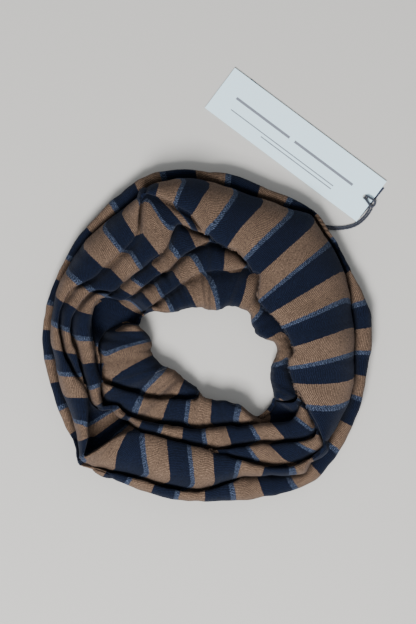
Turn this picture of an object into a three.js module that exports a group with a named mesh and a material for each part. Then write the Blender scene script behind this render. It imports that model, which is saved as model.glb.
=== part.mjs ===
// Neck gaiter: a doubled tube of striped jersey, lying collapsed in a loose ring, with two swing
// cards on a looped string. Millimetres, +Z up. The origin is on the surface that the gaiter lies
// on, under the middle of the ring's outline.
import * as THREE from "three";

// The ring, as it lies.
const RING_WIDTH = 260; // along X
const RING_DEPTH = 262; // along Y
const RING_HEIGHT = 44;
const HOLE_WIDTH = 103; // along X
const HOLE_DEPTH = 84; // along Y
const HOLE_CENTRE = new THREE.Vector2(5.5, -18.5);
const BULGE_HEIGHT = 12; // where both walls of the ring stand out furthest
const OVERHANG = 6; // how far the bulge stands out past the foot
const FACE_THICKNESS = 3; // the outer layer, as a soft slack skin
const LAYER_GAP = 1.6; // between the outer layer and the lining

// The sewing.
const THREAD_DIAMETER = 0.8;
const EDGE_SEAM_HEIGHT = 3;
const EDGE_SEAM_STATIONS = [22, 78]; // from one end of the turning gap round to the other
const TURNING_GAP_STATIONS = [15, 21]; // the stretch that is closed after turning
const LOOP_SEAM_STATION = 36;

// The care label, folded under the rim.
const LABEL_WIDTH = 14;
const LABEL_REACH = 4;
const LABEL_THICKNESS = 0.6;
const LABEL_ANGLE = 51.6; // degrees round the ring
const BARTACK = new THREE.Vector3(1.2, 9, 0.4); // along the reach, the width and the thickness

// The string and its knot, which sits under the rim beside the label.
const STRING_DIAMETER = 1.5;
const STRING_STEPS = 22;
const KNOT_DIAMETER = 3.6;
const KNOT_ANGLE = 47.5; // degrees round the ring
const KNOT_OFFSET = 3.8; // from the foot of the rim to the knot's middle

// The cards.
const CARD_THICKNESS = 0.6;
const CARD_GAP = 0.3;
const HOLE_DIAMETER = 4.6;
const FRONT_CARD = { length: 151.5, width: 40, margin: 6, turn: 143.15 };
const BACK_CARD = { length: 138, width: 30, margin: 7.3, turn: 140.55 };

const CLEARANCE = 0.3; // between neighbours that touch on the real object
const STATIONS = 64; // sections round the ring
const ARCH_STEPS = 12; // steps over the ring, from bulge to bulge
const THREAD_SIDES = 6;

// How the two outlines of the ring wander: radii at equal angles, anticlockwise from +X. Each
// outline is then brought to its own width and depth.
const RIM_RADII = [127, 129, 132, 136, 141, 147, 137, 134, 132, 129, 133, 123, 119, 125, 132, 128];
const HOLE_RADII = [54, 42, 43, 39, 34, 37, 42, 50, 48, 40, 37, 37, 40, 46, 66, 54];

// The two strands of the string, as they lie, measured from the middle of the knot.
const LEFT_STRAND = [
  [2.1, 1.6, 0.9], [5.0, 1.9, 0.9], [8.5, 1.45, 0.9], [11.85, 1.0, 0.9], [15.35, 0.9, 0.9],
  [19.1, 1.25, 0.9], [22.7, 1.95, 0.9], [26.1, 3.0, 0.9], [29.15, 4.55, 0.9], [32.0, 6.6, 0.9],
  [34.5, 8.95, 1.0], [36.6, 11.55, 1.2], [38.15, 13.9, 1.6], [38.95, 15.7, 1.9], [39.4, 16.6, 2.0],
];
const RIGHT_STRAND = [
  [2.3, -0.4, 0.9], [5.0, 0.0, 0.9], [8.3, -0.3, 0.9], [11.75, -0.7, 0.9], [15.45, -0.75, 0.9],
  [19.3, -0.35, 0.9], [23.1, 0.35, 0.9], [26.7, 1.5, 0.9], [30.05, 3.15, 0.9], [33.0, 5.3, 0.9],
  [35.7, 7.85, 1.0], [38.0, 10.55, 1.2], [39.65, 13.0, 1.6], [40.65, 14.8, 1.9], [41.1, 15.6, 2.0],
];
// The hitch: up through the holes, out over the cards' end, round and back down.
const CARD_HOLE = new THREE.Vector2(36, 25);
const HITCH = [
  [36.6, 25.8, 0.5], [36.6, 25.8, 1.9], [37.7, 25.2, 3.1], [40.5, 23.6, 3.2], [43.0, 21.9, 2.9],
  [43.6, 19.9, 2.4], [42.6, 18.0, 2.1], [41.1, 17.3, 2.0], [39.7, 18.0, 2.2], [38.2, 20.0, 2.9],
  [36.6, 22.3, 3.2], [35.6, 23.4, 3.0], [35.4, 24.2, 1.9], [35.4, 24.2, 0.5],
];
const HITCH_STEPS = 36;

const materials = {
  face: material(0x1b2336, 0.95),
  lining: material(0x75573f, 0.95),
  thread: material(0x20283a, 0.8),
  label: material(0xe8e6e0, 0.5),
  string: material(0x303c52, 0.8),
  front: material(0xe4eaf2, 0.6),
  back: material(0x24303f, 0.6),
};

function material(color, roughness) {
  return new THREE.MeshStandardMaterial({ color, roughness, metalness: 0 });
}

function part(name, geometry, look) {
  const mesh = new THREE.Mesh(geometry, look);
  mesh.name = name;
  return mesh;
}

const radians = THREE.MathUtils.degToRad;

// The radius at any angle on a smooth closed curve through equally spaced radii.
function radiusAt(radii, angle) {
  const place = (angle / (2 * Math.PI)) * radii.length;
  const first = Math.floor(place);
  const t = place - first;
  const pick = (k) => radii[(((first + k) % radii.length) + radii.length) % radii.length];
  const [a, b, c, d] = [pick(-1), pick(0), pick(1), pick(2)];
  const square = 2 * a - 5 * b + 4 * c - d;
  const cube = 3 * b - a - 3 * c + d;
  return b + 0.5 * t * (c - a + t * (square + t * cube));
}

// The ring's stations on an outline of the given width and depth about a middle.
function outline(radii, width, depth, middle) {
  const raw = [];
  for (let i = 0; i < STATIONS; i += 1) {
    const angle = (2 * Math.PI * i) / STATIONS;
    const radius = radiusAt(radii, angle);
    raw.push(new THREE.Vector2(radius * Math.cos(angle), radius * Math.sin(angle)));
  }
  const box = new THREE.Box2().setFromPoints(raw);
  const size = box.getSize(new THREE.Vector2());
  const centre = box.getCenter(new THREE.Vector2());
  const scale = new THREE.Vector2(width / size.x, depth / size.y);
  return raw.map((point) => point.sub(centre).multiply(scale).add(middle));
}

const rim = outline(RIM_RADII, RING_WIDTH, RING_DEPTH, new THREE.Vector2());
const hole = outline(HOLE_RADII, HOLE_WIDTH, HOLE_DEPTH, HOLE_CENTRE);

// A point of the ring's section at a station: how far in from the rim, and how high.
function placed(station, inward, height) {
  const i = station % STATIONS;
  const across = hole[i].clone().sub(rim[i]).normalize();
  const point = rim[i].clone().addScaledVector(across, inward);
  return new THREE.Vector3(point.x, point.y, height);
}

// How far in from the rim the wall is at a height below the bulge.
function wallAt(inset, height) {
  return inset + OVERHANG * (1 - height / BULGE_HEIGHT);
}

// The arch over the ring at a station, a given depth inside its skin, from bulge to bulge.
function arch(station, inset) {
  const half = rim[station % STATIONS].distanceTo(hole[station % STATIONS]) / 2;
  const points = [];
  for (let k = 0; k <= ARCH_STEPS; k += 1) {
    const angle = (Math.PI * k) / ARCH_STEPS;
    const inward = half - (half - inset) * Math.cos(angle);
    const height = BULGE_HEIGHT + (RING_HEIGHT - inset - BULGE_HEIGHT) * Math.sin(angle);
    points.push(new THREE.Vector2(inward, height));
  }
  return points;
}

// The whole skin at a station, from the foot of the rim over the arch to the foot of the hole.
function skin(station, inset) {
  const width = rim[station].distanceTo(hole[station]);
  const foot = wallAt(inset, 0);
  const points = [new THREE.Vector2(foot, 0), ...arch(station, inset), new THREE.Vector2(width - foot, 0)];
  return points.map((point) => placed(station, point.x, point.y));
}

// A solid through sections of equally many points, joined end to end or closed by flat ends.
function loft(sections, joined) {
  const sides = sections[0].length;
  const positions = sections.flat().flatMap((point) => point.toArray());
  const index = [];
  const last = joined ? sections.length : sections.length - 1;
  for (let i = 0; i < last; i += 1) {
    const here = i * sides;
    const next = ((i + 1) % sections.length) * sides;
    for (let k = 0; k < sides; k += 1) {
      const other = (k + 1) % sides;
      index.push(here + k, next + k, next + other, here + k, next + other, here + other);
    }
  }
  if (!joined) {
    const end = (sections.length - 1) * sides;
    for (let k = 1; k < sides - 1; k += 1) {
      index.push(0, k, k + 1, end, end + k + 1, end + k);
    }
  }
  const geometry = new THREE.BufferGeometry();
  geometry.setAttribute("position", new THREE.Float32BufferAttribute(positions, 3));
  geometry.setIndex(index);
  return geometry;
}

function tube(points, diameter, steps, sides) {
  const path = new THREE.CatmullRomCurve3(points.map((point) => new THREE.Vector3(...point)));
  const section = new THREE.Shape();
  section.setFromPoints(circle(diameter / 2, sides));
  return new THREE.ExtrudeGeometry(section, { steps, extrudePath: path, bevelEnabled: false });
}

function circle(radius, sides) {
  const points = [];
  for (let k = 0; k < sides; k += 1) {
    const angle = (2 * Math.PI * k) / sides;
    points.push(new THREE.Vector2(radius * Math.cos(angle), radius * Math.sin(angle)));
  }
  return points;
}

// The outer layer of the knitted tube, open underneath.
function tubeFace() {
  const sections = [];
  for (let i = 0; i < STATIONS; i += 1) {
    sections.push([...skin(i, 0), ...skin(i, FACE_THICKNESS).reverse()]);
  }
  return part("knit_tube_face", loft(sections, true), materials.face);
}

// The inner layer with its folds, as one soft body that fills the outer layer.
function tubeLining() {
  const sections = [];
  for (let i = 0; i < STATIONS; i += 1) {
    sections.push(skin(i, FACE_THICKNESS + LAYER_GAP));
  }
  return part("knit_tube_lining", loft(sections, true), materials.lining);
}

const SEAM_INSET = FACE_THICKNESS + LAYER_GAP / 2; // midway between the two layers

// A thread round the rim, between the layers, from one station to another.
function rimThread(name, [first, last]) {
  const inward = wallAt(SEAM_INSET, EDGE_SEAM_HEIGHT);
  const sections = [];
  for (let i = first; i <= last; i += 1) {
    const ring = circle(THREAD_DIAMETER / 2, THREAD_SIDES).reverse();
    sections.push(ring.map((point) => placed(i, inward + point.x, EDGE_SEAM_HEIGHT + point.y)));
  }
  return part(name, loft(sections, false), materials.thread);
}

// The thread of the seam that closes the loop: over the ring, between the layers.
function loopSeam() {
  const tangent = rim[LOOP_SEAM_STATION + 1].clone().sub(rim[LOOP_SEAM_STATION - 1]).normalize();
  const along = new THREE.Vector3(tangent.x, tangent.y, 0);
  const path = arch(LOOP_SEAM_STATION, SEAM_INSET).map((p) => placed(LOOP_SEAM_STATION, p.x, p.y));
  const sections = path.map((point, k) => {
    const before = path[Math.max(k - 1, 0)];
    const after = path[Math.min(k + 1, path.length - 1)];
    const forward = after.clone().sub(before).normalize();
    const outward = along.clone().cross(forward).normalize();
    return circle(THREAD_DIAMETER / 2, THREAD_SIDES).map((p) =>
      point.clone().addScaledVector(along, p.x).addScaledVector(outward, p.y));
  });
  return part("loop_seam_thread", loft(sections, false), materials.thread);
}

// A place on the floor outside the rim, clear by an offset of the wall at a height, with the way
// out from the ring.
function besideRim(angle, height, offset) {
  const place = (radians(angle) / (2 * Math.PI)) * STATIONS;
  const i = Math.floor(place);
  const ends = [i, i + 1].map((station) => placed(station, wallAt(0, height) - offset, 0));
  const way = ends[1].clone().sub(ends[0]).normalize();
  return {
    point: ends[0].clone().lerp(ends[1], place - i),
    turn: Math.atan2(-way.x, way.y),
  };
}

// The label lies on the floor, under the bulge of the rim, with its bar tack on top.
function careLabel() {
  const group = new THREE.Group();
  const top = CLEARANCE + LABEL_THICKNESS;
  const { point, turn } = besideRim(LABEL_ANGLE, top, 2 * CLEARANCE + LABEL_REACH / 2);
  group.position.copy(point);
  group.rotation.z = turn;
  const tape = new THREE.BoxGeometry(LABEL_REACH, LABEL_WIDTH, LABEL_THICKNESS);
  const label = part("care_label", tape, materials.label);
  label.position.z = CLEARANCE + LABEL_THICKNESS / 2;
  const stitch = part("label_bartack", new THREE.BoxGeometry(...BARTACK.toArray()), materials.thread);
  stitch.position.x = LABEL_REACH / 2 - BARTACK.x / 2 - CLEARANCE;
  stitch.position.z = top + CLEARANCE + BARTACK.z / 2;
  group.add(label, stitch);
  return group;
}

// A plain card, lying flat with its hole at the group's own origin.
function card(name, size, bottom, look) {
  const shape = new THREE.Shape();
  const [near, far] = [-size.margin, size.length - size.margin];
  shape.setFromPoints([
    new THREE.Vector2(near, -size.width / 2),
    new THREE.Vector2(far, -size.width / 2),
    new THREE.Vector2(far, size.width / 2),
    new THREE.Vector2(near, size.width / 2),
  ]);
  shape.holes.push(new THREE.Path(circle(HOLE_DIAMETER / 2, 2 * 8).reverse()));
  const sheet = new THREE.ExtrudeGeometry(shape, { depth: CARD_THICKNESS, bevelEnabled: false });
  const mesh = part(name, sheet, look);
  mesh.position.set(CARD_HOLE.x, CARD_HOLE.y, bottom);
  mesh.rotation.z = radians(size.turn);
  return mesh;
}

// The knot, the two strands, the hitch and both cards, placed from the middle of the knot.
function swingTag() {
  const group = new THREE.Group();
  group.position.copy(besideRim(KNOT_ANGLE, 0, KNOT_OFFSET).point);
  const knot = part("cord_knot", new THREE.SphereGeometry(KNOT_DIAMETER / 2, 12, 8), materials.string);
  knot.position.z = KNOT_DIAMETER / 2 + CLEARANCE;
  group.add(
    knot,
    part("tag_cord_left", tube(LEFT_STRAND, STRING_DIAMETER, STRING_STEPS, 8), materials.string),
    part("tag_cord_right", tube(RIGHT_STRAND, STRING_DIAMETER, STRING_STEPS, 8), materials.string),
    part("tag_hitch", tube(HITCH, STRING_DIAMETER, HITCH_STEPS, 8), materials.string),
    card("front_card", FRONT_CARD, CARD_THICKNESS + CARD_GAP, materials.front),
    card("back_card", BACK_CARD, 0, materials.back),
  );
  return group;
}

const gaiter = new THREE.Group();
gaiter.add(
  tubeFace(),
  tubeLining(),
  rimThread("edge_seam_thread", EDGE_SEAM_STATIONS),
  rimThread("turning_gap_stitch", TURNING_GAP_STATIONS),
  loopSeam(),
  careLabel(),
  swingTag(),
);

export default gaiter;
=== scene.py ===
"""A striped knitted neck gaiter, rolled into a ring, with its swing tag. Metres, +Z up."""
import math

import bpy
import numpy as np
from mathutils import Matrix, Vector


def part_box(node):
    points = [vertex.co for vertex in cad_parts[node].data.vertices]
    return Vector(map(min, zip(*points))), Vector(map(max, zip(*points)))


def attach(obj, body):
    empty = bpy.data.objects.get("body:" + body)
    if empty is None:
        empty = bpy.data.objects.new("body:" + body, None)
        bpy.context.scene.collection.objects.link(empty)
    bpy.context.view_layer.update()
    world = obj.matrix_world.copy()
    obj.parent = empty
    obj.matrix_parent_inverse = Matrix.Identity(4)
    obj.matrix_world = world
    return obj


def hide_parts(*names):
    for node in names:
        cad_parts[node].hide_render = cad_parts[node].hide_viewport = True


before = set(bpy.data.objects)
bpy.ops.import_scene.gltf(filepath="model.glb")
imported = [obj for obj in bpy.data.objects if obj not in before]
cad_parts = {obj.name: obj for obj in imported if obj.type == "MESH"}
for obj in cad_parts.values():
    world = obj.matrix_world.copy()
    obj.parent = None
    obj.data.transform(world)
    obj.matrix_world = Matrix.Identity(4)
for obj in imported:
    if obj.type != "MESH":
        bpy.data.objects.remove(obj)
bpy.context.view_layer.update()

MM = 0.001
SEED = 7

# ---------------------------------------------------------------- shared helpers


def material(name, color, roughness):
    """A new Principled material, and its nodes, links and shader."""
    made = bpy.data.materials.new(name)
    made.use_nodes = True
    nodes = made.node_tree.nodes
    shader = nodes["Principled BSDF"]
    shader.inputs["Base Color"].default_value = (*color, 1)
    shader.inputs["Roughness"].default_value = roughness
    return made, nodes, made.node_tree.links, shader


def linear(red, green, blue):
    """An 8-bit sRGB colour as the linear numbers that a shader takes."""
    def one(value):
        value /= 255
        return value / 12.92 if value <= 0.04045 else ((value + 0.055) / 1.055) ** 2.4
    return one(red), one(green), one(blue)


def set_material(piece, made):
    """Gives a piece one material in place of what it had."""
    piece.data.materials.clear()
    piece.data.materials.append(made)


def math_node(nodes, links, operation, first, second=None, third=None, clamp=False):
    """A Math node. Each input is a number or a socket."""
    node = nodes.new("ShaderNodeMath")
    node.operation = operation
    node.use_clamp = clamp
    for index, value in enumerate((first, second, third)):
        if value is None:
            continue
        if isinstance(value, (int, float)):
            node.inputs[index].default_value = value
        else:
            links.new(value, node.inputs[index])
    return node.outputs[0]


def mix_color(nodes, links, share, first, second):
    """A colour mix. Share is a number or socket, and the colours are tuples or sockets."""
    node = nodes.new("ShaderNodeMix")
    node.data_type = "RGBA"
    for key, value in ((0, share), (6, first), (7, second)):
        if isinstance(value, (int, float)):
            node.inputs[key].default_value = value
        elif isinstance(value, tuple):
            node.inputs[key].default_value = (*value, 1)
        else:
            links.new(value, node.inputs[key])
    return node.outputs[2]


def noise(nodes, links, vector, scale, detail=2.0, roughness=0.5):
    """A Noise node's value."""
    node = nodes.new("ShaderNodeTexNoise")
    node.inputs["Scale"].default_value = scale
    node.inputs["Detail"].default_value = detail
    node.inputs["Roughness"].default_value = roughness
    links.new(vector, node.inputs["Vector"])
    return node.outputs["Fac"]


def bump(nodes, links, shader, height, distance, strength=1.0):
    """A bump on the shader's normal, with its height in metres times distance."""
    node = nodes.new("ShaderNodeBump")
    node.inputs["Distance"].default_value = distance
    node.inputs["Strength"].default_value = strength
    links.new(height, node.inputs["Height"])
    links.new(node.outputs["Normal"], shader.inputs["Normal"])


def object_place(nodes):
    """Where a place is on its own piece, in metres, so that a pattern moves with the piece."""
    return nodes.new("ShaderNodeTexCoord").outputs["Object"]


def smooth_step(value):
    """0 below 0, 1 above 1 and an even ease between."""
    value = np.clip(value, 0, 1)
    return value * value * (3 - 2 * value)


# ---------------------------------------------------------------- the folded cloth's outlines
# Radii in mm about FOLD_CENTRE at angles in degrees, anticlockwise from +X, seen from above.

FOLD_CENTRE = (2.4, -12.5)
ANGLES = 400

RIM = [
    (0, 128), (7, 130), (15, 131), (25, 129), (33, 127.5), (40, 130.5), (45, 132), (50, 135.5),
    (55, 138), (60, 137.5), (70, 136), (75, 137.5), (80, 140), (85, 141.5), (90, 141), (95, 145),
    (100, 146.5), (105, 147.5), (113, 148), (115, 146), (120, 143), (125, 141.5), (130, 139.5),
    (140, 138), (150, 135), (165, 135.5), (175, 134), (180, 133), (185, 131.5), (190, 130),
    (215, 130), (217, 132.5), (219, 136.5), (221, 137.5), (223, 136.5), (225, 133.5), (228, 129.5),
    (235, 127.5), (240, 126), (245, 124.5), (255, 122.5), (265, 120.5), (275, 120.5), (280, 121.5),
    (285, 123.5), (290, 124.5), (295, 127), (300, 129.5), (303, 132), (310, 133.5), (315, 132.5),
    (320, 131.5), (330, 129), (340, 127.5), (350, 126), (355, 126.5),
]
MAIN_OUTER = [
    (0, 116), (8, 116.5), (17, 118.5), (25, 122.5), (30, 125), (33, 126), (40, 129), (45, 130.5),
    (50, 133.5), (53, 136), (60, 131), (65, 129.5), (73, 128.5), (80, 130), (85, 132), (90, 135),
    (95, 138), (100, 139.5), (110, 139.5), (114, 135), (121, 132.5), (140, 132), (150, 131),
    (160, 131), (165, 129), (170, 128), (175, 127), (180, 125), (185, 123), (190, 122.5),
    (205, 121.5), (210, 124), (214, 127), (217, 130.5), (221, 135.5), (225, 130.5), (228, 126.5),
    (230, 125), (235, 119.5), (240, 116), (245, 113.5), (255, 112), (265, 111.5), (270, 108.5),
    (276, 105), (285, 103), (290, 106.5), (295, 109.5), (300, 116), (303, 118.5), (308, 124),
    (312, 119.5), (320, 118), (330, 118), (340, 119.5), (349, 118.5), (355, 116),
]
MAIN_INNER = [
    (0, 66), (10, 63), (17, 60.5), (25, 58), (30, 56), (35, 54), (45, 54.5), (50, 58.5), (57, 72),
    (62, 70.5), (66, 74.5), (75, 81.5), (82, 82), (87, 84.5), (90, 90), (94, 94), (98, 106),
    (103.5, 114.5), (105, 119.5), (110, 128), (113, 134), (117, 121), (121, 107), (125, 103),
    (130, 101.5), (140, 103), (148, 106), (152, 111.5), (155, 117), (160, 119), (165, 120.5),
    (171, 119.5), (180, 114.5), (185, 110.5), (190, 107.5), (195, 103), (200, 102.5), (206, 105),
    (210, 109), (213, 113), (216, 117), (219, 125.5), (221, 133.5), (222, 96), (225, 90),
    (227, 86.5), (230, 84), (236, 80), (242, 78), (249, 76.5), (255, 76), (263, 76.5), (270, 78),
    (272, 80.5), (279, 83), (286, 88.5), (291, 94.5), (297, 102), (305, 110.5), (312, 114.5),
    (316, 117), (320, 118), (322.5, 110), (325, 103), (327.5, 94), (330, 88.5), (332.5, 81.5),
    (335, 76), (338, 71.5), (342.5, 66.5), (347.5, 63.5), (354, 63),
]
SECOND_INNER = [
    (92, 91), (97, 95), (101, 99.5), (104, 103), (107, 99), (110, 92.5), (113, 88), (118, 85),
    (130, 84), (140, 86), (148, 88), (150, 92.5), (153, 103), (160, 107.5), (166, 110.5),
    (172, 110.5), (180, 104.5), (185, 103), (190, 101.5), (198, 102), (203, 103), (207, 101),
    (209, 97.5), (211, 87), (216, 86.5), (225, 85.5), (230, 84), (236, 80), (242, 78), (249, 76.5),
    (255, 76), (263, 76.5), (270, 78), (285, 78.5), (292, 80), (299, 82.5), (305, 88.5),
    (310, 93.5), (316, 102), (320, 106), (324, 104), (327, 96),
]
THIRD_INNER = [
    (150, 88.5), (155, 96), (160, 98), (165, 97.5), (172, 94), (180, 91), (190, 90), (195, 89.5),
    (200, 92), (207, 95), (209, 95), (210, 86.5), (216, 85), (225, 77.5), (235, 71.5), (240, 68.5),
    (249, 65), (255, 64.5), (261, 63.5), (270, 61), (276, 61), (285, 62), (295, 66), (304, 70),
    (310, 75), (315, 80.5), (319, 84.5), (325, 85), (331, 83),
]
FOURTH_INNER = [
    (86, 84), (90, 85), (96, 81.5), (103, 78.5), (108, 76), (112, 73), (117, 70.5), (130, 71),
    (140, 73), (145, 74), (149, 77), (152, 81),
]
FIFTH_INNER = [
    (62, 70.5), (66, 71.5), (70, 67.5), (75, 63.5), (82, 62), (90, 60.5), (96, 60), (102, 58.5),
    (111, 56.5), (120, 55), (130, 55), (140, 56.5), (147, 59.5), (150, 61), (155, 62), (160, 62),
    (163, 70.5), (166, 74.5), (170, 84), (175, 87), (180, 88.5), (184, 86.5), (190, 88),
    (197, 88), (200, 81.5), (204, 74.5), (209, 66.5), (215, 63), (221, 57), (226, 52), (229, 49),
    (236, 45), (250, 40), (257, 38.5), (322, 64), (325, 72), (328, 77), (331, 78.5), (335, 76),
]
HOLE = [
    (0, 53), (7, 51), (10, 45), (15, 40), (20, 38), (30, 38.5), (35, 39.5), (40, 41.5), (45, 42.5),
    (50, 41.5), (60, 39.5), (65, 38), (70, 37), (73, 33.5), (80, 31.5), (90, 31.5), (95, 32),
    (100, 34), (110, 35.5), (120, 37.5), (130, 39.5), (135, 41.5), (140, 45.5), (145, 53.5),
    (150, 58), (155, 60.5), (160, 61), (162.5, 57), (165, 52), (167.5, 49), (171, 46.5),
    (176, 45.5), (180, 47), (185, 45.5), (190, 43), (197, 40), (205, 34.5), (210, 31.5),
    (225, 30.5), (240, 30.5), (250, 31), (257, 34.5), (260, 37.5), (270, 39), (274, 40),
    (285, 41), (292, 45), (300, 51), (303, 61), (305, 66.5), (310, 67.5), (316, 67), (320, 66),
    (323, 63.5), (330, 56), (334, 53), (339, 51), (345, 50), (351, 51), (357, 52.5),
]

# Crown heights of the seven folded tracks in mm, from the rim to the hole.
CROWNS = [
    [(0, 17), (215, 17), (228, 25), (280, 26), (292, 19), (340, 17)],
    [(0, 43), (100, 43), (113, 38), (221, 37), (228, 36), (318, 36), (326, 33), (345, 37)],
    [(0, 35), (150, 34), (204, 33), (208, 9), (221, 9), (227, 33), (270, 31), (320, 32)],
    [(0, 32), (150, 31), (205, 31), (215, 29), (330, 28)],
    [(0, 29), (120, 28), (160, 25), (220, 24), (320, 24)],
    [(0, 27), (60, 28), (146, 27), (150, 6), (170, 5), (176, 25), (300, 24), (306, 9), (322, 9),
     (328, 24)],
    [(0, 21), (7, 20), (22, 19), (38, 20), (50, 24), (150, 22), (163, 24), (200, 25), (222, 20),
     (258, 13), (330, 20)],
]

# Where each melange line crosses a track: its number round the tube, then the angles at the
# track's outer and inner edges.
LINES = [
    [(n, a, a) for n, a in enumerate((17, 42, 62, 84, 105, 123.5, 147, 163.5, 182.5, 201, 221, 238,
                                      257, 279, 301.7, 321.5, 342, 359))],
    [(0, 21, 18), (1, 41.5, 45), (2, 58, 69), (3, 79, 92), (4, 97, 104), (5, 115, 115),
     (6, 131, 131.5), (7, 151, 153), (8, 170, 171), (9, 188.5, 190), (10, 207, 212),
     (11, 221.5, 219), (12, 245, 230.5), (13, 263.5, 257.5), (14, 281, 285.5), (15, 303, 305),
     (16, 339, 330), (17, 359, 347.5)],
    [(0, 21, 18), (1, 45, 45), (2, 69, 69), (3, 94, 91), (5, 112, 106), (6, 128.5, 130),
     (7, 152, 153.5), (8, 171, 172), (9, 191, 191), (10, 212, 212), (11, 222, 222), (12, 240, 240),
     (13, 270, 267), (14, 294, 291), (15, 316.5, 313), (16, 330, 330), (17, 347.5, 347.5)],
    [(2, 69, 69), (3, 91, 91), (5, 110, 110), (6, 130, 130), (7, 152, 152), (8, 175, 174.5),
     (9, 197.5, 197.5), (10, 217, 215), (11, 238.5, 237), (12, 267.5, 265), (13, 299, 298.5),
     (14, 322, 322), (16, 347.5, 347.5), (18, 398, 398)],
    [(3, 90, 87), (4, 111.5, 108), (5, 138, 136.5), (6, 153, 153), (8, 197.5, 197.5),
     (9, 215, 215), (10, 237, 237), (11, 265, 265), (12, 298.5, 298.5), (13, 322, 322),
     (17, 392, 392)],
    [(0, 62, 66), (1, 101.5, 95), (2, 129, 132), (3, 149, 151), (3.6, 152, 154),
     (3.95, 184, 186), (5, 221.5, 213.5), (6, 252, 246), (7, 288, 298), (8, 330, 330),
     (9, 378, 378)],
    [(0, 38, 34), (1, 92, 78), (2, 130, 135.5), (3, 158, 158), (4, 184, 170), (5, 211.5, 200),
     (6, 258, 258), (7, 300, 300), (8, 354, 346)],
]

UNDER, ABOVE = -1, 1
# Which way each fold goes: the inner track goes under the outer one, or comes up above it.
FOLD_SIDES = [
    [(0, ABOVE), (222, ABOVE), (227, UNDER), (282, UNDER), (287, ABOVE)],
    [(0, UNDER)], [(0, UNDER)], [(0, UNDER)], [(0, UNDER)], [(0, UNDER)],
]
# How far each fold is tucked back, in mm.
TUCKS = [
    [(0, 7)],
    [(0, 7), (38, 7), (44, 1.5), (60, 1.5), (66, 7), (228, 7), (240, 3.5), (312, 3.5), (325, 7)],
    [(0, 7), (228, 7), (240, 3.5), (312, 3.5), (325, 7)],
    [(0, 6.5), (228, 6.5), (240, 3.5), (312, 3.5), (325, 6.5)],
    [(0, 4), (86, 5), (100, 3), (146, 3), (150, 12), (168, 12), (174, 6)],
    [(0, 6), (105, 5), (120, 3), (150, 3), (158, 6)],
]


def round_list(points, angles):
    """A closed outline's value at each angle, from (angle, value) pairs."""
    known = np.array(points, float)
    return np.interp(angles, known[:, 0], known[:, 1], period=360)


def part_list(points, angles, elsewhere):
    """An outline's value where its points reach, and another outline's outside them."""
    known = np.array(points, float)
    inside = (angles >= known[0, 0]) & (angles <= known[-1, 0])
    value = np.interp(angles, known[:, 0], known[:, 1])
    return np.where(inside, value, elsewhere)


def smooth_round(values, spread):
    """A closed list of values, blurred by spread samples."""
    reach = int(math.ceil(3 * spread))
    steps = np.arange(-reach, reach + 1)
    weights = np.exp(-0.5 * (steps / spread) ** 2)
    weights /= weights.sum()
    return sum(w * np.roll(values, s, axis=0) for w, s in zip(weights, steps))


TRACKS = 7
OUTLINE_BLUR, FOLD_BLUR = 0.8, 2.0
# Between these angles the last track has no width, as the fifth fold meets the hole.
NO_LAST_TRACK = (257, 322)


def boundaries(angles):
    """The radii of the rim, the six folds and the hole at each angle, one column each."""
    rim = round_list(RIM, angles)
    hole = round_list(HOLE, angles)
    main_outer = round_list(MAIN_OUTER, angles)
    main_inner = round_list(MAIN_INNER, angles)
    second = part_list(SECOND_INNER, angles, main_inner)
    third = part_list(THIRD_INNER, angles, second)
    fourth = part_list(FOURTH_INNER, angles, third)
    fifth = part_list(FIFTH_INNER, angles, fourth)
    near_hole = (angles > NO_LAST_TRACK[0]) & (angles < NO_LAST_TRACK[1])
    fifth = np.where(near_hole, hole, fifth)
    stack = [rim, main_outer, main_inner, second, third, fourth, fifth, hole]
    for index in range(1, TRACKS):
        stack[index] = np.minimum(stack[index], stack[index - 1])
    for index in range(TRACKS - 1, 0, -1):
        stack[index] = np.maximum(stack[index], stack[index + 1])
    return smooth_round(np.stack(stack, axis=1), OUTLINE_BLUR)


def fold_lists(lists, angles):
    """Each list's value at each angle, one column for each list, with its corners rounded off."""
    return smooth_round(np.stack([round_list(one, angles) for one in lists], axis=1), FOLD_BLUR)


def line_phase(track, angles, side):
    """The stripe phase along one edge of a track: whole numbers lie on melange lines."""
    known = sorted((row[side], row[0]) for row in LINES[track])
    spots = np.array([k[0] for k in known], float)
    numbers = np.array([k[1] for k in known], float)
    turn = numbers.max() + 1 - numbers.min()
    spread = np.concatenate([spots - 360, spots, spots + 360])
    values = np.concatenate([numbers - turn, numbers, numbers + turn])
    return np.interp(angles, spread, values)


def nearest_turn(phase, reference):
    """The same place in the stripe, as close to the reference as whole repeats allow."""
    return phase + np.round(reference - phase)


def blend(under, above, side):
    """A value that is the first where side is 0 and the second where side is 1."""
    return under * (1 - side) + above * side


# Heights and distances in the cloth's section, in mm.
FLOOR_GAP = 1.3
UNDERSIDE_SAG = 0.2
FOOT_INSET = 9
RIM_CURL, RIM_CURL_HEIGHT = 2.2, 4.0
RIM_WIDEST = 11
RIM_ROLL = 2
HEM_TUCK, HEM_HEIGHT = 17, 2.9
LIP_HEIGHT = 5.5
# A track narrower than this has a lower crown.
FULL_WIDTH = 9.0
# How far across a track its section's points lie, and how far up from its edge to its crown.
RISES = ((0.06, 0.34), (0.24, 0.84), (0.60, 1.0), (0.90, 0.93))
# How far below its crown a track ends: over the next track, under it, and at the hole.
END_OVER = 4.5
END_UNDER, LOWEST_END = 16, 9
END_AT_HOLE = 0.45
# Where the cloth goes under a fold: how far it drops, and how low the next track leaves it.
UNDER_DROP, LEAVE_DROP, BELOW_NEXT_CROWN, LOWEST_LEAVE = 6.5, 2.0, 3, 4
# Where the next track comes up above a fold: how far it rises, and its least height.
ABOVE_RISE, LEAST_RISE = 6.5, 14


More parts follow.
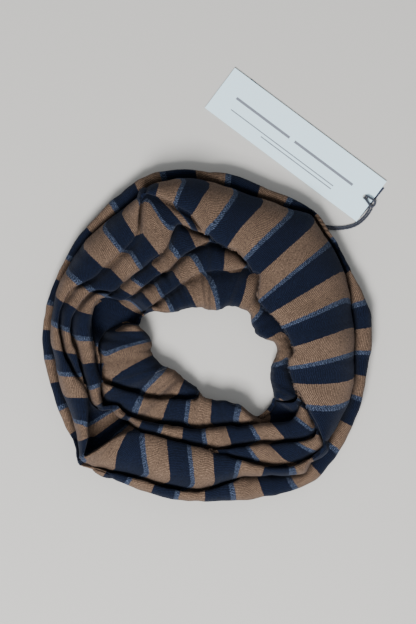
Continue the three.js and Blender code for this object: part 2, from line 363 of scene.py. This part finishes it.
def foot_rows(rim, hole, phase):
    """The section under the ring, from near the hole out to the widest place of the rim."""
    flat = np.full_like(rim, FLOOR_GAP)
    return [
        (hole + FOOT_INSET, flat, phase),
        ((hole + rim) / 2, flat - UNDERSIDE_SAG, phase),
        (rim - FOOT_INSET, flat, phase),
        (rim - RIM_CURL, np.full_like(rim, RIM_CURL_HEIGHT), phase),
        (rim, np.full_like(rim, RIM_WIDEST), phase),
    ]


def track_rows(outer, width, crown, share, start, end, phases):
    """A track's section: up from its start, over its crown and down to its end."""
    outer_phase, inner_phase = phases
    rows = []
    for along, rise in RISES:
        base = start if along < 0.5 else end
        peak = base * (1 - share) + crown * share
        height = base + (peak - base) * rise
        rows.append((outer - width * along, height,
                     outer_phase + (inner_phase - outer_phase) * along))
    return rows


def fold_rows(inner, end, side, tuck, next_full, next_crown, phase):
    """The S of one fold, and the height at which the next track leaves it."""
    low = end - UNDER_DROP * next_full * (1 - side)
    leave = np.minimum(low - LEAVE_DROP * next_full, next_crown - BELOW_NEXT_CROWN)
    leave = np.maximum(leave, LOWEST_LEAVE)
    rise_to = np.maximum(end + ABOVE_RISE, LEAST_RISE)
    # Each row is a radius and a height where the cloth goes under, then where it comes up above.
    places = (
        (inner, end, inner - tuck * 0.55, end),
        (inner + tuck, low * 0.5 + end * 0.5 - 1.5 * next_full, inner - tuck, end + 2),
        (inner + tuck * 0.25, leave, inner, rise_to),
    )
    rows = [
        (blend(under_radius, above_radius, side), blend(under_height, above_height, side), phase)
        for under_radius, under_height, above_radius, above_height in places
    ]
    return rows, blend(leave, rise_to, side)


def lip_rows(hole, phase):
    """The cloth's last turn at the hole, back under the ring."""
    return [
        (hole + 0.2, np.full_like(hole, LIP_HEIGHT), phase),
        (hole + 2.5, np.full_like(hole, HEM_HEIGHT), phase),
        (hole + HEM_TUCK, np.full_like(hole, HEM_HEIGHT), phase),
    ]


def track_phases(track, angles, before, share):
    """The stripe phase at a track's outer and inner edges, carried on from the track before."""
    own_outer = line_phase(track, angles, 1)
    slant = line_phase(track, angles, 2) - own_outer
    outer_phase = before * (1 - share) + nearest_turn(own_outer, before) * share
    return outer_phase, outer_phase + slant * share


def section_points(angles):
    """Control points of the cloth's section at each angle: radius, height and stripe phase."""
    edges = boundaries(angles)
    crowns = fold_lists(CROWNS, angles)
    sides = (fold_lists(FOLD_SIDES, angles) + 1) / 2
    tucks = fold_lists(TUCKS, angles)
    widths = edges[:, :TRACKS] - edges[:, 1:]
    full = smooth_step(widths / FULL_WIDTH)
    phase = line_phase(0, angles, 1)
    rows = foot_rows(edges[:, 0], edges[:, TRACKS], phase)
    start = rows[-1][1] + RIM_ROLL
    for track in range(TRACKS):
        inner, crown, share = edges[:, track + 1], crowns[:, track], full[:, track]
        last = track == TRACKS - 1
        if last:
            end = crown * END_AT_HOLE
        else:
            side, next_crown = sides[:, track], crowns[:, track + 1]
            under = np.maximum(np.minimum(crown, next_crown) - END_UNDER, LOWEST_END)
            end = blend(crown - END_OVER, under, side)
        phases = track_phases(track, angles, phase, share)
        rows += track_rows(edges[:, track], widths[:, track], crown, share, start, end, phases)
        phase = phases[1]
        if last:
            rows.append((inner + 0.3, end, phase))
        else:
            next_full = full[:, track + 1]
            tuck = tucks[:, track] * next_full
            fold, start = fold_rows(inner, end, side, tuck, next_full, next_crown, phase)
            rows += fold
    rows += lip_rows(edges[:, TRACKS], phase)
    return np.array(rows).transpose(2, 0, 1)


SAMPLES_PER_SPAN = 2
SMOOTH_PASSES = 2


def refine(points):
    """The sections with extra points between the control points, rounded off."""
    count = points.shape[1]
    places = np.linspace(0, count - 1, (count - 1) * SAMPLES_PER_SPAN + 1)
    below = np.minimum(places.astype(int), count - 2)
    share = (places - below)[None, :, None]
    fine = points[:, below] * (1 - share) + points[:, below + 1] * share
    for _ in range(SMOOTH_PASSES):
        middle = (fine[:, :-2] + 2 * fine[:, 1:-1] + fine[:, 2:]) / 4
        fine[:, 1:-1] = middle
    return fine


def soft_noise(shape, spacing, random):
    """A smooth random field over the grid, closed round the ring, about -1 to 1."""
    around = max(4, int(round(shape[0] / spacing[0])))
    across = max(3, int(round(shape[1] / spacing[1]))) + 1
    coarse = random.uniform(-1, 1, (around, across))
    u = np.arange(shape[0]) * around / shape[0]
    v = np.linspace(0, across - 1.001, shape[1])
    u0, v0 = u.astype(int), v.astype(int)
    fu = smooth_step(u - u0)[:, None]
    fv = smooth_step(v - v0)[None, :]
    u1, v1 = (u0 + 1) % around, v0 + 1
    u0 = u0 % around
    return ((coarse[np.ix_(u0, v0)] * (1 - fu) + coarse[np.ix_(u1, v0)] * fu) * (1 - fv)
            + (coarse[np.ix_(u0, v1)] * (1 - fu) + coarse[np.ix_(u1, v1)] * fu) * fv)


def grid_normals(points):
    """Unit normals of a grid of points that closes on itself along its first side."""
    around = np.roll(points, -1, axis=0) - np.roll(points, 1, axis=0)
    across = np.gradient(points, axis=1)
    normal = np.cross(around, across)
    return normal / np.maximum(np.linalg.norm(normal, axis=2, keepdims=True), 1e-9)


STRIPE_MM = 39.5
CLOTH_THICKNESS = 1.5
# Small waves in the cloth: a height in mm, and the grid steps between waves round and across.
RIPPLES = ((0.55, (7, 9)), (0.45, (3.5, 14)))
# Ripples start at this height and are full this much higher, in mm.
RIPPLE_FROM, RIPPLE_OVER = 3, 8
LOWEST_CLOTH = 1.0
FLOOR_CLEARANCE = 0.1


def add_ripples(points):
    """Moves the cloth's points in and out by small waves, and keeps them above the floor."""
    random = np.random.default_rng(SEED)
    size = points.shape[:2]
    ripple = sum(height * soft_noise(size, spacing, random) for height, spacing in RIPPLES)
    lifted = smooth_step((points[..., 2] - RIPPLE_FROM) / RIPPLE_OVER)
    points += grid_normals(points) * (ripple * lifted)[..., None]
    # The strip is thickened away from its outer side, so where that side faces up it lies higher.
    facing_up = grid_normals(points)[..., 2] > 0
    lowest = np.where(facing_up, CLOTH_THICKNESS + FLOOR_CLEARANCE, LOWEST_CLOTH)
    points[..., 2] = np.maximum(points[..., 2], lowest)


def cloth_grid():
    """The strip's points in mm, with each one's stripe phase and its distance along the section."""
    angles = np.arange(ANGLES) * 360 / ANGLES
    fine = refine(section_points(angles))
    radius, height, phase = fine[..., 0], fine[..., 1], fine[..., 2]
    turn = np.radians(angles)[:, None]
    points = np.stack([
        FOLD_CENTRE[0] + radius * np.cos(turn),
        FOLD_CENTRE[1] + radius * np.sin(turn),
        height,
    ], axis=2)
    add_ripples(points)
    steps = np.linalg.norm(np.diff(points, axis=1), axis=2)
    along = np.concatenate([np.zeros((ANGLES, 1)), np.cumsum(steps, axis=1)], axis=1)
    return points, phase, along


def grid_faces(rows, columns):
    """Four-cornered faces of a grid that closes on itself along its first side."""
    row, column = np.meshgrid(np.arange(rows), np.arange(columns - 1), indexing="ij")
    beyond = (row + 1) % rows
    return np.stack([
        row * columns + column,
        beyond * columns + column,
        beyond * columns + column + 1,
        row * columns + column + 1,
    ], axis=2).reshape(-1, 4)


def lay_stripes(mesh, faces, phase, along):
    """UVs in mm for each face's corner: round the tube, and along the cloth's section."""
    corner_phase = phase.reshape(-1)[faces]
    corner_along = along.reshape(-1)[faces]
    corner_phase = nearest_turn(corner_phase, corner_phase[:, :1])
    uv = np.stack([corner_phase * STRIPE_MM, corner_along], axis=2).reshape(-1)
    layer = mesh.uv_layers.new(name="cloth")
    layer.data.foreach_set("uv", uv.astype(np.float32))


def build_cloth():
    """The gaiter's cloth: a strip closed into a ring and thickened. Also its grid of points."""
    points, phase, along = cloth_grid()
    faces = grid_faces(*points.shape[:2])
    mesh = bpy.data.meshes.new("gaiter_cloth")
    mesh.from_pydata((points * MM).reshape(-1, 3).tolist(), [], faces.tolist())
    lay_stripes(mesh, faces, phase, along)
    mesh.polygons.foreach_set("use_smooth", np.ones(len(faces), bool))
    mesh.update()
    cloth = bpy.data.objects.new("gaiter_cloth", mesh)
    bpy.context.scene.collection.objects.link(cloth)
    thick = cloth.modifiers.new("thickness", "SOLIDIFY")
    thick.thickness = CLOTH_THICKNESS * MM
    thick.offset = -1
    thick.use_rim = True
    return cloth, points


# ---------------------------------------------------------------- materials

BROWN = linear(85, 69, 57)
NAVY = linear(9, 15, 30)
MELANGE = linear(60, 68, 85)
MELANGE_DARK = linear(13, 21, 38)
PRINT_GREY = linear(112, 116, 126)
# Half the melange line's width, as a share of the stripe.
MELANGE_HALF = 0.047
# Pitches in mm: the melange line's loops, the knit's wales and its courses.
CHAIN_MM = 2.2
WALE_MM = 1.4
COURSE_MM = 1.0
# How far the melange line's loops slant, in mm along it for one whole stripe across.
CHAIN_SLANT = 45
STRIPE_WANDER_MM = 1.3
# How far the painted shade in deep folds reaches, in mm.
PAINTED_SHADE_REACH_MM = 5


def wave(nodes, links, length_mm, pitch_mm):
    """A cosine along a length, with one turn to each pitch."""
    angle = math_node(nodes, links, "MULTIPLY", length_mm, 2 * math.pi / pitch_mm)
    return math_node(nodes, links, "COSINE", angle)


def stripe_phase(nodes, links, round_mm, spot):
    """How far a place is from the nearest melange line, -0.5 to 0.5 of a stripe."""
    # The edges of the stripes wander by a stitch or so, as knitted rows do.
    wander = noise(nodes, links, spot, 420, 2)
    half = STRIPE_WANDER_MM / 2
    wander = math_node(nodes, links, "MULTIPLY_ADD", wander, STRIPE_WANDER_MM, -half)
    shifted = math_node(nodes, links, "ADD", round_mm, wander)
    phase = math_node(nodes, links, "MULTIPLY", shifted, 1 / STRIPE_MM)
    phase = math_node(nodes, links, "ADD", phase, 0.5)
    phase = math_node(nodes, links, "FLOORED_MODULO", phase, 1.0)
    return math_node(nodes, links, "SUBTRACT", phase, 0.5)


def stripe_color(nodes, links, phase, along_mm, fleck):
    """Brown and navy, and where they meet a chain of slanted pale loops on a dark ground."""
    is_brown = math_node(nodes, links, "GREATER_THAN", phase, 0.0)
    distance = math_node(nodes, links, "ABSOLUTE", phase)
    is_line = math_node(nodes, links, "LESS_THAN", distance, MELANGE_HALF)
    slanted = math_node(nodes, links, "MULTIPLY_ADD", distance, CHAIN_SLANT, along_mm)
    chain = wave(nodes, links, slanted, CHAIN_MM)
    chain = math_node(nodes, links, "MULTIPLY_ADD", chain, 0.3, 0.5)
    fleck_share = math_node(nodes, links, "MULTIPLY_ADD", fleck, 3.0, -1.55)
    fleck_share = math_node(nodes, links, "ADD", fleck_share, chain, clamp=True)
    line_color = mix_color(nodes, links, fleck_share, MELANGE_DARK, MELANGE)
    plain = mix_color(nodes, links, is_brown, NAVY, BROWN)
    return mix_color(nodes, links, is_line, plain, line_color)


def yarn_tone_and_painted_shade(nodes, links, wale, spot):
    """The yarn's colour value: mottled at random, times painted shade in the furrows between the wales
    and in deep folds.
    """
    mottle = noise(nodes, links, spot, 1150, 3, 0.6)
    mottle = math_node(nodes, links, "MULTIPLY_ADD", mottle, 3.0, -0.5)
    broad = noise(nodes, links, spot, 60, 2)
    broad = math_node(nodes, links, "MULTIPLY_ADD", broad, 0.4, 0.8)
    # Painted shade: the colour darkens in the furrows between the wales.
    painted_wale_shade = math_node(nodes, links, "MULTIPLY_ADD", wale, 0.5, 1.0)
    shade = math_node(nodes, links, "MULTIPLY", mottle, broad)
    shade = math_node(nodes, links, "MULTIPLY", shade, painted_wale_shade)
    # Painted shade: ambient occlusion darkens the colour in deep folds and creases, where shade falls.
    painted_shade_ao = nodes.new("ShaderNodeAmbientOcclusion")
    painted_shade_ao.inputs["Distance"].default_value = PAINTED_SHADE_REACH_MM * MM
    painted_shade_ao.samples = 8
    painted_shade_factor = math_node(nodes, links, "MULTIPLY_ADD", painted_shade_ao.outputs["AO"], 0.7, 0.35)
    return math_node(nodes, links, "MULTIPLY", shade, painted_shade_factor)


def knit_material():
    """Fine striped jersey: brown, navy, and a twisted melange line between them."""
    made, nodes, links, shader = material("knit_cloth", NAVY, 0.92)
    shader.inputs["Sheen Weight"].default_value = 0.04
    shader.inputs["Sheen Roughness"].default_value = 0.6
    shader.inputs["Sheen Tint"].default_value = (0.8, 0.85, 1, 1)
    shader.inputs["Specular IOR Level"].default_value = 0.06
    coords = nodes.new("ShaderNodeUVMap")
    coords.uv_map = "cloth"
    split = nodes.new("ShaderNodeSeparateXYZ")
    links.new(coords.outputs["UV"], split.inputs[0])
    round_mm, along_mm = split.outputs["X"], split.outputs["Y"]
    spot = object_place(nodes)
    fleck = noise(nodes, links, spot, 900, 3, 0.7)
    wale = wave(nodes, links, along_mm, WALE_MM)
    course = wave(nodes, links, round_mm, COURSE_MM)

    phase = stripe_phase(nodes, links, round_mm, spot)
    shaded = nodes.new("ShaderNodeHueSaturation")
    links.new(stripe_color(nodes, links, phase, along_mm, fleck), shaded.inputs["Color"])
    # Painted shade: the colour is darkened in deep folds and in the furrows between the wales.
    links.new(yarn_tone_and_painted_shade(nodes, links, wale, spot), shaded.inputs["Value"])
    links.new(shaded.outputs["Color"], shader.inputs["Base Color"])

    ribs = math_node(nodes, links, "MULTIPLY_ADD", wale, 0.5, 0.5)
    loops = math_node(nodes, links, "MULTIPLY_ADD", course, 0.2, 0.2)
    relief = math_node(nodes, links, "ADD", ribs, loops)
    relief = math_node(nodes, links, "ADD", relief, fleck)
    bump(nodes, links, shader, relief, 0.25 * MM, 0.8)
    return made


def thread_material(name, color):
    """Twisted sewing thread or cord: fine slanting plies and some fuzz."""
    made, nodes, links, shader = material(name, color, 0.7)
    shader.inputs["Sheen Weight"].default_value = 0.3
    spot = object_place(nodes)
    fuzz = noise(nodes, links, spot, 2500, 2)
    share = math_node(nodes, links, "MULTIPLY_ADD", fuzz, 2.0, -0.5, clamp=True)
    dark = tuple(c * 0.55 for c in color)
    pale = tuple(min(1, c * 1.35) for c in color)
    tone = mix_color(nodes, links, share, dark, pale)
    links.new(tone, shader.inputs["Base Color"])
    bump(nodes, links, shader, fuzz, 0.2 * MM, 0.8)
    return made


def board_material(name, color, roughness):
    """Coated paper board: a faint tooth and faint cloudiness."""
    made, nodes, links, shader = material(name, color, roughness)
    spot = object_place(nodes)
    tooth = noise(nodes, links, spot, 1800, 3, 0.6)
    cloud = noise(nodes, links, spot, 25, 2)
    share = math_node(nodes, links, "MULTIPLY_ADD", cloud, 0.5, 0.25, clamp=True)
    tone = mix_color(nodes, links, share, tuple(c * 0.94 for c in color), color)
    links.new(tone, shader.inputs["Base Color"])
    bump(nodes, links, shader, tooth, 0.03 * MM, 0.5)
    return made


def print_rules(made, hole, turn, rules):
    """Prints plain grey rules on a board: each is (start, end, middle, width) in mm from the hole."""
    nodes, links = made.node_tree.nodes, made.node_tree.links
    shader = nodes["Principled BSDF"]
    board_color = shader.inputs["Base Color"].links[0].from_socket
    spot = object_place(nodes)
    local = nodes.new("ShaderNodeMapping")
    local.vector_type = "TEXTURE"
    local.inputs["Location"].default_value = hole
    local.inputs["Rotation"].default_value = (0, 0, turn)
    local.inputs["Scale"].default_value = (MM, MM, MM)
    links.new(spot, local.inputs["Vector"])
    split = nodes.new("ShaderNodeSeparateXYZ")
    links.new(local.outputs["Vector"], split.inputs[0])
    covered = None
    for start, end, middle, width in rules:
        past = math_node(nodes, links, "GREATER_THAN", split.outputs["X"], start)
        before = math_node(nodes, links, "LESS_THAN", split.outputs["X"], end)
        off = math_node(nodes, links, "SUBTRACT", split.outputs["Y"], middle)
        off = math_node(nodes, links, "ABSOLUTE", off)
        within = math_node(nodes, links, "LESS_THAN", off, width / 2)
        rule = math_node(nodes, links, "MULTIPLY", past, before)
        rule = math_node(nodes, links, "MULTIPLY", rule, within)
        covered = rule if covered is None else math_node(nodes, links, "MAXIMUM", covered, rule)
    color = mix_color(nodes, links, covered, board_color, PRINT_GREY)
    links.new(color, shader.inputs["Base Color"])


# ---------------------------------------------------------------- the tag's string

STRING_RADIUS = 0.8
HITCH_RADIUS = 0.95
TWIST_PITCH = 3.2
KNOT_PLACE = (90.71, 84.62)
# Points that the string follows, in mm: across the floor from the knot's middle, then up from it.
LEFT_STRAND = [
    (2.1, 1.6, 0.9), (5.0, 1.9, 0.9), (8.5, 1.45, 0.9), (11.85, 1.0, 0.9), (15.35, 0.9, 0.9),
    (19.1, 1.25, 0.9), (22.7, 1.95, 0.9), (26.1, 3.0, 0.9), (29.15, 4.55, 0.9), (32.0, 6.6, 0.9),
    (34.5, 8.95, 1.0), (36.6, 11.55, 1.2), (38.15, 13.9, 1.6), (38.95, 15.7, 1.9), (39.4, 16.6, 2.0),
]
RIGHT_STRAND = [
    (2.3, -0.4, 0.9), (5.0, 0.0, 0.9), (8.3, -0.3, 0.9), (11.75, -0.7, 0.9), (15.45, -0.75, 0.9),
    (19.3, -0.35, 0.9), (23.1, 0.35, 0.9), (26.7, 1.5, 0.9), (30.05, 3.15, 0.9), (33.0, 5.3, 0.9),
    (35.7, 7.85, 1.0), (38.0, 10.55, 1.2), (39.65, 13.0, 1.6), (40.65, 14.8, 1.9), (41.1, 15.6, 2.0),
]
HITCH = [
    (36.6, 25.8, 0.5), (36.6, 25.8, 1.9), (37.7, 25.2, 3.1), (40.5, 23.6, 3.2), (43.0, 21.9, 2.9),
    (43.6, 19.9, 2.4), (42.6, 18.0, 2.1), (41.1, 17.3, 2.0), (39.7, 18.0, 2.2), (38.2, 20.0, 2.9),
    (36.6, 22.3, 3.2), (35.6, 23.4, 3.0), (35.4, 24.2, 1.9), (35.4, 24.2, 0.5),
]


def string_points(route):
    """A route's points in metres in the object's frame."""
    return [Vector(((KNOT_PLACE[0] + x) * MM, (KNOT_PLACE[1] + y) * MM, z * MM)) for x, y, z in route]


def smooth_route(points, steps=8):
    """A Catmull-Rom curve through the points."""
    ends = [points[0] * 2 - points[1], *points, points[-1] * 2 - points[-2]]
    found = []
    for a, b, c, d in zip(ends, ends[1:], ends[2:], ends[3:]):
        for step in range(steps):
            t = step / steps
            found.append(0.5 * (2 * b + (c - a) * t + (2 * a - 5 * b + 4 * c - d) * t * t
                                + (3 * b - a - 3 * c + d) * t ** 3))
    found.append(points[-1])
    return found


def twisted_tube(name, route, radius, pitch, closed=False, sides=14):
    """A two-ply string along the route, in metres: its section has two lobes that turn along it."""
    count = len(route)
    lift = Vector((0, 0, 1))
    vertices, faces, travelled = [], [], 0.0
    normal = None
    for index, here in enumerate(route):
        ahead = route[(index + 1) % count] if closed else route[min(index + 1, count - 1)]
        behind = route[index - 1] if closed else route[max(index - 1, 0)]
        forward = (ahead - behind).normalized()
        if normal is None:
            normal = forward.cross(lift)
            if normal.length < 0.1:
                normal = forward.cross(Vector((1, 0, 0)))
        normal = (normal - forward * normal.dot(forward)).normalized()
        other = forward.cross(normal)
        if index:
            travelled += (here - route[index - 1]).length
        twist = 2 * math.pi * travelled / (pitch * MM)
        for side in range(sides):
            angle = 2 * math.pi * side / sides
            reach = radius * (0.80 + 0.20 * abs(math.cos(angle - twist / 2)))
            vertices.append(here + normal * (reach * math.cos(angle)) + other * (reach * math.sin(angle)))
    rings = count if closed else count - 1
    for index in range(rings):
        first, second = index * sides, ((index + 1) % count) * sides
        for side in range(sides):
            after = (side + 1) % sides
            faces.append((first + side, first + after, second + after, second + side))
    if not closed:
        faces.append(tuple(reversed(range(sides))))
        faces.append(tuple(range((count - 1) * sides, count * sides)))
    mesh = bpy.data.meshes.new(name)
    mesh.from_pydata([tuple(v) for v in vertices], [], faces)
    mesh.polygons.foreach_set("use_smooth", np.ones(len(faces), bool))
    mesh.update()
    made = bpy.data.objects.new(name, mesh)
    bpy.context.scene.collection.objects.link(made)
    return made


KNOT_STEPS = 72
# The knot's size: its spread across the floor and its rise, in mm for one unit of the curve.
KNOT_SPREAD, KNOT_RISE = 0.42, 0.75
# The string is pulled a little thinner in the knot.
KNOT_THINNING = 0.85


def build_knot(string):
    """The overhand knot that ties the string's two ends together."""
    low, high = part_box("cord_knot")
    middle = (low + high) / 2
    route = []
    for step in range(KNOT_STEPS):
        t = 2 * math.pi * step / KNOT_STEPS
        x = math.sin(t) + 2 * math.sin(2 * t)
        y = math.cos(t) - 2 * math.cos(2 * t)
        z = -math.sin(3 * t)
        offset = Vector((x * KNOT_SPREAD, y * KNOT_SPREAD, z * KNOT_RISE))
        route.append(middle + offset * MM)
    radius = STRING_RADIUS * KNOT_THINNING * MM
    knot = twisted_tube("string_knot", route, radius, TWIST_PITCH, closed=True)
    set_material(knot, string)
    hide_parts("cord_knot")
    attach(knot, "string")
    return knot


def build_string(string):
    """The looped string: two strands from the knot, and the hitch through the cards' hole."""
    knot = build_knot(string)
    hitch_route = smooth_route(string_points(HITCH), 6)
    hitch = twisted_tube("string_hitch", hitch_route, HITCH_RADIUS * MM, TWIST_PITCH)
    set_material(hitch, string)
    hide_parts("tag_hitch")
    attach(hitch, "tag")
    cards = [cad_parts["front_card"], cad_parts["back_card"]]
    rows = (
        ("string_left", LEFT_STRAND, "tag_cord_left", [knot, hitch, *cards]),
        ("string_right", RIGHT_STRAND, "tag_cord_right", []),
    )
    for name, points, node, others in rows:
        route = smooth_route(string_points(points))
        strand = twisted_tube(name, route, STRING_RADIUS * MM, TWIST_PITCH)
        set_material(strand, string)
        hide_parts(node)
        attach(strand, "string")


# ---------------------------------------------------------------- the gaiter's seams

THREAD_RADIUS = 0.32
THREAD_PITCH = 1.5
THREAD_SIDES = 6
THREAD_CLEARANCE = 0.05
STITCH_MM = 4.0
POINTS_PER_STITCH = 6
# A stitch's middle height over the cloth, and how far it rises and dips from there, in mm.
STITCH_LIFT, STITCH_WAVE = 0.12, 0.38
# How far the hand stitches of the turning gap swing to each side, in mm.
HAND_SWING = 1.1
SEAM_COLUMN = 3 * SAMPLES_PER_SPAN
LOOP_SEAM_ANGLE = 202.5
GAP_FROM, GAP_TO = 84.4, 118.1


def stitched_route(path, normals, sideways, swing):
    """A thread that dips in and out of the cloth along a path, in metres. Lengths are in mm."""
    lengths = np.linalg.norm(np.diff(path, axis=0), axis=1)
    travelled = np.concatenate([[0], np.cumsum(lengths)])
    count = int(travelled[-1] / (STITCH_MM / POINTS_PER_STITCH))
    places = np.linspace(0, travelled[-1], count)
    along = np.stack([np.interp(places, travelled, path[:, k]) for k in range(3)], axis=1)
    up = np.stack([np.interp(places, travelled, normals[:, k]) for k in range(3)], axis=1)
    side = np.stack([np.interp(places, travelled, sideways[:, k]) for k in range(3)], axis=1)
    turn = 2 * np.pi * places / STITCH_MM
    lift = STITCH_LIFT + STITCH_WAVE * np.cos(turn)
    route = along + up * lift[:, None] + side * (swing * np.sin(turn / 2))[:, None]
    route[:, 2] = np.maximum(route[:, 2], THREAD_RADIUS + THREAD_CLEARANCE)
    return [Vector(p) * MM for p in route]


def build_seams(points, thread):
    """The edge seam round the foot of the rim, the hand-closed gap in it and the tube's loop seam."""
    normals = grid_normals(points)
    across = np.gradient(points, axis=1)
    across /= np.maximum(np.linalg.norm(across, axis=2, keepdims=True), 1e-9)
    around = np.roll(points, -1, axis=0) - points
    around /= np.maximum(np.linalg.norm(around, axis=2, keepdims=True), 1e-9)
    first = round(GAP_TO / 360 * ANGLES)
    last = round(GAP_FROM / 360 * ANGLES) + ANGLES
    rows = np.arange(first, last + 1) % ANGLES
    gap_rows = np.arange(last - ANGLES + 1, first)
    loop_row = round(LOOP_SEAM_ANGLE / 360 * ANGLES)
    loop = slice(points.shape[1] - 5 * SAMPLES_PER_SPAN, points.shape[1] - 1)
    seams = (
        ("edge_seam", "edge_seam_thread", (rows, SEAM_COLUMN), across, 0.0),
        ("turning_gap", "turning_gap_stitch", (gap_rows, SEAM_COLUMN), across, HAND_SWING),
        ("loop_seam", "loop_seam_thread", (loop_row, loop), around, 0.0),
    )
    for name, node, place, sideways, swing in seams:
        route = stitched_route(points[place], normals[place], sideways[place], swing)
        seam = twisted_tube(name, route, THREAD_RADIUS * MM, THREAD_PITCH, sides=THREAD_SIDES)
        set_material(seam, thread)
        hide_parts(node)
        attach(seam, "gaiter")


# ---------------------------------------------------------------- camera, floor and light


def build_stage():
    """A plain pale floor."""
    bpy.ops.mesh.primitive_plane_add(size=6)
    floor = bpy.context.object
    floor.name = "floor"
    made, nodes, links, shader = material("floor", (0.50, 0.485, 0.46), 0.85)
    shader.inputs["Specular IOR Level"].default_value = 0.15
    spot = object_place(nodes)
    grain = noise(nodes, links, spot, 300, 3)
    bump(nodes, links, shader, grain, 0.1 * MM, 0.3)
    set_material(floor, made)


CAMERA_PLACE = (0.0008, 0.0177, 1.6)
# How much of the floor the picture shows from its near side to its far side, in metres.
SEEN_DEPTH = 0.4992
SENSOR_MM = 36


def build_camera():
    """A camera straight above, with the far side at the top."""
    data = bpy.data.cameras.new("camera")
    data.sensor_fit = "VERTICAL"
    data.sensor_height = SENSOR_MM
    data.lens = SENSOR_MM * CAMERA_PLACE[2] / SEEN_DEPTH
    data.clip_end = 20
    camera = bpy.data.objects.new("camera", data)
    camera.location = CAMERA_PLACE
    bpy.context.scene.collection.objects.link(camera)
    bpy.context.scene.camera = camera


def area_light(name, place, size, power):
    """A square soft box that points at the object."""
    data = bpy.data.lights.new(name, "AREA")
    data.size = size
    data.energy = power
    light = bpy.data.objects.new(name, data)
    light.location = place
    light.rotation_euler = (-Vector(place)).to_track_quat("-Z", "Y").to_euler()
    bpy.context.scene.collection.objects.link(light)


def build_lights():
    """A soft window from the near side, and an even pale sky."""
    area_light("window", (-0.45, -1.35, 1.9), 0.9, 122)
    area_light("fill", (0.9, 1.2, 1.8), 1.4, 6)
    world = bpy.data.worlds.new("sky")
    world.use_nodes = True
    world.node_tree.nodes["Background"].inputs["Color"].default_value = (0.9, 0.95, 1, 1)
    world.node_tree.nodes["Background"].inputs["Strength"].default_value = 0.46
    bpy.context.scene.world = world


# ---------------------------------------------------------------- the object

# The front card's hole, and the angle at which the card lies from it.
CARD_HOLE = (126.71 * MM, 109.62 * MM, 0)
CARD_TURN = math.radians(143.15)
# Each rule's start and end along the card, its distance from the card's middle line, and its
# width, in mm.
CARD_RULES = [
    (14, 72, -1.5, 2.2), (77, 130, -1.5, 2.2), (26, 128, 8.5, 0.9), (26, 96, 11.5, 0.9),
]


def build_object():
    """Makes the new pieces in place of model parts, hangs them on the bodies they ride on, and gives
    every piece its material.
    """
    string = thread_material("tag_string", linear(28, 33, 50))
    thread = thread_material("sewing_thread", linear(28, 34, 54))
    white_board = board_material("front_board", linear(215, 243, 255), 0.38)
    navy_board = board_material("back_board", linear(26, 33, 54), 0.5)
    label = thread_material("label_tape", linear(225, 225, 222))
    print_rules(white_board, CARD_HOLE, CARD_TURN, CARD_RULES)
    build_string(string)
    for node, made in (
        ("front_card", white_board),
        ("back_card", navy_board),
        ("care_label", label),
        ("label_bartack", thread),
    ):
        set_material(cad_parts[node], made)
    cloth, points = build_cloth()
    build_seams(points, thread)
    set_material(cloth, knit_material())
    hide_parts("knit_tube_face", "knit_tube_lining")
    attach(cloth, "gaiter")


build_camera()
build_stage()
build_lights()
build_object()
